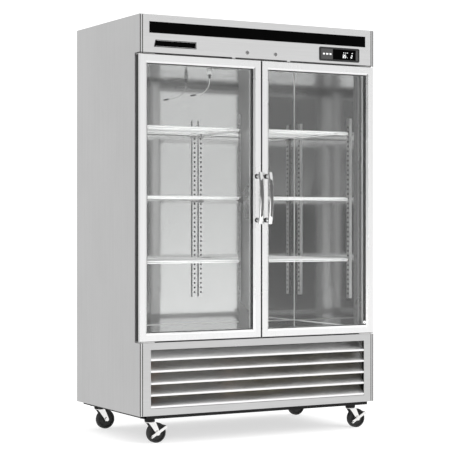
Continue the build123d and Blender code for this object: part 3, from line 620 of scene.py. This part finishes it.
def digits(mesh, text, left, low, size, y):
    """Seven-segment numbers; size is (width, height) of one digit."""
    wide, high = size
    lean = 0.1
    for i, sign in enumerate(text):
        x = left + i * wide * 1.5
        corner = {
            name: (x + cx * wide + lean * cz * high, low + cz * high)
            for name, (cx, cz) in DIGIT_CORNERS.items()
        }
        for lamp in SEGMENTS[sign]:
            start, end = SEGMENT_ENDS[lamp]
            segment(mesh, corner[start], corner[end], wide * 0.26, y)


display = bmesh.new()
LAMP_Y = (FACE_Y[0] - 0.00015, FACE_Y[0] + 0.0002)
DIGIT = (0.0085, 0.015)
for shown, left in (("35", 0.142), ("2", 0.194)):
    digits(display, shown, bezel_low.x + left, bezel_low.z + 0.021, DIGIT, LAMP_Y)
point_x = (bezel_low.x + 0.17, bezel_low.x + 0.1725)
slab(display, point_x, LAMP_Y, (bezel_low.z + 0.0205, bezel_low.z + 0.023))
for lamp_x in (0.146, 0.158, 0.17, 0.2):
    left = bezel_low.x + lamp_x
    slab(display, (left, left + 0.006), LAMP_Y, (bezel_low.z + 0.0455, bezel_low.z + 0.0475))
piece("controller_digits", display, "cabinet", "white_plastic", lamps)

# A thin bright line around the blank badge.
border = bmesh.new()
LINE = 0.0011
INSET = 0.003
line_y = (badge_low.y - 0.0002, badge_low.y + 0.0002)
line_right, line_top, line_foot = badge_high.x - INSET, badge_high.z - INSET, badge_low.z + INSET
slab(border, (badge_low.x + 0.012, line_right), line_y, (line_top - LINE, line_top))
slab(border, (badge_low.x + 0.007, line_right), line_y, (line_foot, line_foot + LINE))
slab(border, (line_right - LINE, line_right), line_y, (line_foot, line_top))
piece("badge_line", border, "cabinet", "chrome", chrome)

# Black rubber seals under the handles' feet, their black partly painted shade where the feet meet the doors,
# and a bright ring on each.
seal_and_shade_outline = [(0.0072, 0.0), (0.0122, 0.0), (0.0122, 0.006), (0.0105, 0.0095), (0.0072, 0.0095)]
for side in ("left", "right"):
    low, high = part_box(f"door_handle_{side}")
    middle = (low + high) / 2
    seals_and_shade = bmesh.new()
    for level in (-1, 1):
        foot_z = middle.z + level * HANDLE_FEET / 2
        turned(seals_and_shade, seal_and_shade_outline, (middle.x, FRONT, foot_z), DOORWARDS)
        ring_place = (middle.x, FRONT - 0.0105, foot_z)
        turned(seals_and_shade, ring_outline(0.0076, 0.0009), ring_place, DOORWARDS, index=1)
    piece(f"handle_seals_and_shade_{side}", seals_and_shade, f"door_{side}", "gasket", black_rubber_and_shade, chrome)

# Painted shade: dark strips in the folds where the side sheets turn round the front corners, and behind the
# panels' gaps.
panel_low, panel_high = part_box("grille_frame")
seam_shade = bmesh.new()
side_low, side_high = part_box("side_panel_left")
seam_y = (FRONT - 0.0002, FRONT + 0.0003)
for sign in (-1, 1):
    for low, high in ((side_low.z, panel_high.z), (header_low.z, header_high.z)):
        for out, inner, short in ((0.0004, 0.0052, 0.001), (0.0128, 0.0172, 0.002)):
            seam_x = sorted((sign * (-side_low.x - out), sign * (-side_low.x - inner)))
            slab(seam_shade, seam_x, seam_y, (low + short, high - short))
piece("corner_seam_shade", seam_shade, "cabinet", "gasket", black_rubber_and_shade)

# Painted shade: dark rings between each lock's barrel and its plug, and round the barrel.
lock_low, lock_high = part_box("lock_housings")
lock_z = (lock_low.z + lock_high.z) / 2
plug_shade_outline = [(0.0062, -0.0004), (0.0079, -0.0004), (0.0079, 0.0003), (0.0062, 0.0003)]
for side, plug_x in (("left", lock_low.x + 0.01), ("right", lock_high.x - 0.01)):
    rings = bmesh.new()
    turned(rings, plug_shade_outline, (plug_x, lock_low.y, lock_z), DOORWARDS)
    barrel_shade_place = (plug_x, FRONT - 0.0004, lock_z)
    turned(rings, ring_outline(0.0101, 0.0007, 8), barrel_shade_place, DOORWARDS, 40)
    piece(f"lock_shade_ring_{side}", rings, "cabinet", "gasket", black_rubber_and_shade)

# A round cap in the right door's lower corner.
cap = bmesh.new()
cap_outline = [(0.003, 0.0), (0.0085, 0.0), (0.0085, 0.0012)]
cap_outline += [(0.0075, 0.0024), (0.0055, 0.0024), (0.003, 0.001)]
cap_middle = [(0.0, 0.0), (0.0031, 0.0), (0.0031, 0.0006), (0.0, 0.0006)]
door_low, door_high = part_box("door_frame_right")
cap_place = (door_high.x - 0.0505, FRONT + 0.0085, door_low.z + 0.056)
turned(cap, cap_outline, cap_place, DOORWARDS)
turned(cap, cap_middle, cap_place, DOORWARDS, index=1)
piece("door_cap", cap, "door_right", "white_plastic", white_plastic, grey_plastic)


def bead(mesh, start, end, corner, size=0.004, steps=5):
    """A hollow-faced bead of sealant along a corner; corner is the two directions out of it."""
    one, two = Vector(corner[0]) * size, Vector(corner[1]) * size
    profile = [Vector((0, 0, 0)), one]
    for i in range(1, steps):
        turn = math.pi / 2 * i / steps
        profile.append(one * (1 - math.sin(turn)) + two * (1 - math.cos(turn)))
    profile.append(two)
    ends = [[mesh.verts.new(Vector(at) + p) for p in profile] for at in (start, end)]
    mesh.faces.new(ends[0])
    mesh.faces.new(ends[1][::-1])
    for i in range(len(profile)):
        j = (i + 1) % len(profile)
        mesh.faces.new((ends[0][i], ends[1][i], ends[1][j], ends[0][j]))


# White sealant in the liner's corners, its white also a painted highlight along the corners.
sealant_and_highlight = bmesh.new()
FLOOR_BEAD = 0.003
corners = [(sign * INSIDE, INSIDE_BACK, INSIDE_FLOOR) for sign in (-1, 1)]
for sign, corner in zip((-1, 1), corners):
    inwards = (-sign, 0, 0)
    bead(sealant_and_highlight, corner, (*corner[:2], INSIDE_TOP), (inwards, DOORWARDS))
    doorway = (corner[0], FACE + 0.04, INSIDE_FLOOR)
    bead(sealant_and_highlight, doorway, corner, (inwards, UPWARDS), FLOOR_BEAD)
bead(sealant_and_highlight, *corners, (DOORWARDS, UPWARDS), FLOOR_BEAD)
piece("liner_sealant", sealant_and_highlight, "cabinet", "white_plastic", white_plastic)


def about(middle, half):
    return (middle - half, middle + half)


# Painted shade: dark plates over the tracks' slots, a little wider than the slots.
tracks_low, tracks_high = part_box("shelf_pilasters")
FIRST_SLOT = 0.025
PROUD = 0.0004
PLATE_HIGH, WALL_PLATE, BACK_PLATE = 0.005, 0.0065, 0.005  # halves
slot_count = int((tracks_high.z - tracks_low.z - 0.026) / SLOT_PITCH)
back = [co for co in (v.co for v in nodes["shelf_pilasters"].data.vertices)
        if co.y > INSIDE_BACK - 0.02 and abs(co.x) < 0.1]
back_x = (min(abs(co.x) for co in back) + max(abs(co.x) for co in back)) / 2
back_web = min(co.y for co in back)
shades = bmesh.new()
for i in range(slot_count):
    plate_z = about(tracks_low.z + FIRST_SLOT + SLOT_PITCH * i, PLATE_HIGH)
    for sign in (-1, 1):
        web_x = about(sign * (INSIDE - TRACK_DEPTH), PROUD)
        for track_y in track_ys:
            slab(shades, web_x, about(track_y, WALL_PLATE), plate_z, 0, ROUND_OFF)
        back_plate = about(sign * back_x, BACK_PLATE), about(back_web, PROUD)
        slab(shades, *back_plate, plate_z, 0, ROUND_OFF)
piece("track_slot_shades", shades, "cabinet", "gasket", black_paint)


def tube(name, paths, radius, material, body, slot):
    """Round bars along paths of points, as one curve."""
    data = bpy.data.curves.new(name, "CURVE")
    data.dimensions = "3D"
    data.bevel_depth = radius
    data.bevel_resolution = 3
    data.use_fill_caps = True
    for path in paths:
        spline = data.splines.new("NURBS")
        spline.points.add(len(path) - 1)
        for point, place in zip(spline.points, path):
            point.co = (*place, 1)
        spline.order_u = 3
        spline.use_endpoint_u = True
    return place_piece(name, data, body, slot, material)


# A second bar under each shelf's front, bent up into its rim at both ends.
levels = []
for z in sorted((v.co.z for v in nodes["wire_shelves"].data.vertices), reverse=True):
    if not levels or levels[-1] - z > 0.1:
        levels.append(z)
shelf_low, shelf_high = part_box("wire_shelves")
bars = []
for top in levels:
    for sign in (-1, 1):
        outer, inner = sign * (shelf_high.x - 0.0105), sign * 0.0655
        y, rim, low = shelf_low.y + 0.0035, top - 0.0072, top - 0.0155
        turn = 0.006 * sign
        ends = [(outer, y, rim), (outer, y, low + 0.003), (outer, y, low), (outer - turn, y, low)]
        ends += [(inner + turn, y, low), (inner, y, low), (inner, y, low + 0.003), (inner, y, rim)]
        bars.append(ends)
tube("shelf_front_bars", bars, 0.003, shelf_white, "cabinet", "white_plastic")

# Painted shadow: thin black strips along the gaps over and under the doors.
gap_shade = bmesh.new()
gap_shade_y = about(FRONT, PROUD)
header_line = (header_low.z, header_low.z + 0.0022)
slab(gap_shade, (header_low.x, header_high.x), gap_shade_y, header_line, 0, ROUND_OFF)
piece("header_gap_shade", gap_shade, "cabinet", "gasket", black_paint)
for side in ("left", "right"):
    door_low, door_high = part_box(f"door_frame_{side}")
    gap_shade = bmesh.new()
    door_line = (door_low.z, door_low.z + 0.002)
    slab(gap_shade, (door_low.x + 0.001, door_high.x - 0.001), gap_shade_y, door_line, 0, ROUND_OFF)
    piece(f"door_gap_shade_{side}", gap_shade, f"door_{side}", "gasket", black_paint)

# The compressor's weld seam.
can_low, can_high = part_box("compressor")
seam = bmesh.new()
CAN_X, CAN_R = 0.33, 0.0885
can_y, seam_z = (can_low.y + can_high.y) / 2, can_high.z - 0.085
turned(seam, ring_outline(CAN_R, 0.0022, 12), (CAN_X, can_y, seam_z), UPWARDS, 64)
turned(seam, ring_outline(CAN_R, 0.0012, 8), (CAN_X, can_y, seam_z - 0.0035), UPWARDS, 64)
piece("compressor_seam", seam, "cabinet", "black_steel", black_paint)

# Ball races of the casters, between plate and fork, and raised rings and ribs on each wheel.
plates_low, plates_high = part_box("caster_plates")
RACES = ((0.0225, 0.0016, 12, 0.1046), (0.0245, 0.0009, 8, 0.1032))  # radius, wire, sides, z
# radius, wire, sides, distance from the wheel's middle, steps
WHEEL_RINGS = ((0.0365, 0.0011, 10, 0.0082, 48), (0.0475, 0.0008, 8, 0.0128, 64))
RIB_START, RIB_LONG, RIB_THICK, RIB_OUT = 0.0135, 0.022, 0.0022, 0.0084
for end in ("front", "rear"):
    for side in ("left", "right"):
        fork_low, fork_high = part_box(f"caster_fork_{end}_{side}")
        sign = -1 if side == "left" else 1
        swivel_x = sign * (plates_high.x - 0.045)
        y_middle = (fork_low.y + fork_high.y) / 2
        race = bmesh.new()
        for radius, wire, sides, z in RACES:
            turned(race, ring_outline(radius, wire, sides), (swivel_x, y_middle, z), UPWARDS, 48)
        piece(f"caster_race_{end}_{side}", race, f"fork_{end}_{side}", "zinc", bright_zinc)
        wheel_low, wheel_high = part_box(f"caster_wheel_{end}_{side}")
        hub = (wheel_low + wheel_high) / 2
        ribs = bmesh.new()
        for out in (-1, 1):
            for radius, wire, sides, away, steps in WHEEL_RINGS:
                ring_place = (hub.x, hub.y + out * away, hub.z)
                turned(ribs, ring_outline(radius, wire, sides), ring_place, (0, 1, 0), steps)
            for i in range(6):
                turn = Matrix.Rotation(math.pi * i / 3, 3, "Y")
                for v in bmesh.ops.create_cube(ribs, size=1.0)["verts"]:
                    x = RIB_START + (v.co.x + 0.5) * RIB_LONG
                    shaped = Vector((x, v.co.y * RIB_THICK, v.co.z * RIB_THICK))
                    v.co = turn @ shaped + hub + Vector((0, out * RIB_OUT, 0))
        piece(f"wheel_ribs_{end}_{side}", ribs, f"wheel_{end}_{side}", "wheel", wheel_rubber)


# ------------------------------------------------------------------ studio

VIEW = Vector((0.4863, 0.8738, 0))
camera_data = bpy.data.cameras.new("camera")
camera_data.lens = 121.1
camera_data.sensor_width = 36.0
camera_data.clip_end = 100.0
camera = bpy.data.objects.new("camera", camera_data)
camera.location = (-3.898, -6.974, 1.075)
camera.rotation_euler = VIEW.to_track_quat("-Z", "Y").to_euler()
scene.collection.objects.link(camera)
scene.camera = camera

floor_mesh = bmesh.new()
bmesh.ops.create_circle(floor_mesh, cap_ends=True, segments=96, radius=14.0)
floor_data = bpy.data.meshes.new("floor")
floor_mesh.to_mesh(floor_data)
floor_mesh.free()
floor = bpy.data.objects.new("floor", floor_data)
scene.collection.objects.link(floor)
floor_looks = {"Specular_IOR_Level": 0.0, "Emission_Strength": 0.62}
floor_material = Material("floor_pale", grey(0.45), 0.9, **floor_looks)
floor_material.shader.inputs["Emission Color"].default_value = (1, 1, 1, 1)
floor_material.colours(floor_material.noise((0.7, 0.7, 0.7)), (0.3, grey(0.44)), (0.7, grey(0.46)))
floor_data.materials.append(floor_material.data)
floor.visible_glossy = False


def softbox(name, place, aim, size, power):
    """A large soft lamp that neither the camera nor shiny surfaces show."""
    data = bpy.data.lights.new(name, "AREA")
    data.shape = "RECTANGLE"
    data.size, data.size_y = size
    data.energy = power
    lamp = bpy.data.objects.new(name, data)
    lamp.location = place
    lamp.rotation_euler = (Vector(aim) - Vector(place)).to_track_quat("-Z", "Y").to_euler()
    lamp.visible_glossy = False
    lamp.visible_camera = False
    scene.collection.objects.link(lamp)


softbox("key", (4.5, -6.0, 4.2), (0, 0, 1.0), (4.0, 3.0), 260)
softbox("low", (-1.9, -3.4, 0.8), (0, -0.1, 0.9), (2.2, 1.0), 70)
softbox("fill", (-5.5, 1.0, 3.6), (0, 0, 1.0), (3.0, 3.0), 60)
BAY_X = 0.33
middle_z = (INSIDE_FLOOR + INSIDE_TOP) / 2
for bay, x in (("left", -BAY_X), ("right", BAY_X)):
    place = (x, INSIDE_BACK - 0.05, middle_z)
    softbox(f"bay_{bay}", place, (x, FACE, middle_z), (0.5, 1.5), 3.5)


def studio_world():
    """White surroundings, dimmer towards the front left, with a bright ceiling."""
    world = bpy.data.worlds.new("studio")
    scene.world = world
    world.use_nodes = True
    tree = world.node_tree
    background = tree.nodes["Background"]
    background.inputs["Color"].default_value = (1, 1, 1, 1)

    direction = add_node(tree, "ShaderNodeTexCoord").outputs["Generated"]
    parts = add_node(tree, "ShaderNodeSeparateXYZ", [(0, direction)]).outputs

    def stretch(value, old, new):
        return map_range(tree, value, old, new, interpolation_type="SMOOTHSTEP")

    def blend(share, first, second):
        links = [(0, share), (2, first), (3, second)]
        return add_node(tree, "ShaderNodeMix", links).outputs[0]

    front_high = stretch(parts["X"], (-0.45, 0.4), (0.16, 0.96))
    front_low = stretch(parts["X"], (-0.45, 0.4), (1.9, 1.25))
    down = stretch(parts["Z"], (0.05, -0.075), (0.0, 1.0))
    front = blend(down, front_high, front_low)
    back = stretch(parts["X"], (-0.5, 0.4), (0.84, 1.1))
    turn = stretch(parts["Y"], (-0.5, 0.3), (0.0, 1.0))
    sides = blend(turn, front, back)
    up = stretch(parts["Z"], (0.3, 0.9), (0.0, 1.0))
    level = blend(up, sides, 1.5)
    seen = add_node(tree, "ShaderNodeLightPath").outputs["Is Camera Ray"]
    shown = blend(seen, level, 1.2)
    tree.links.new(shown, background.inputs["Strength"])


studio_world()
scene.view_settings.view_transform = "Standard"
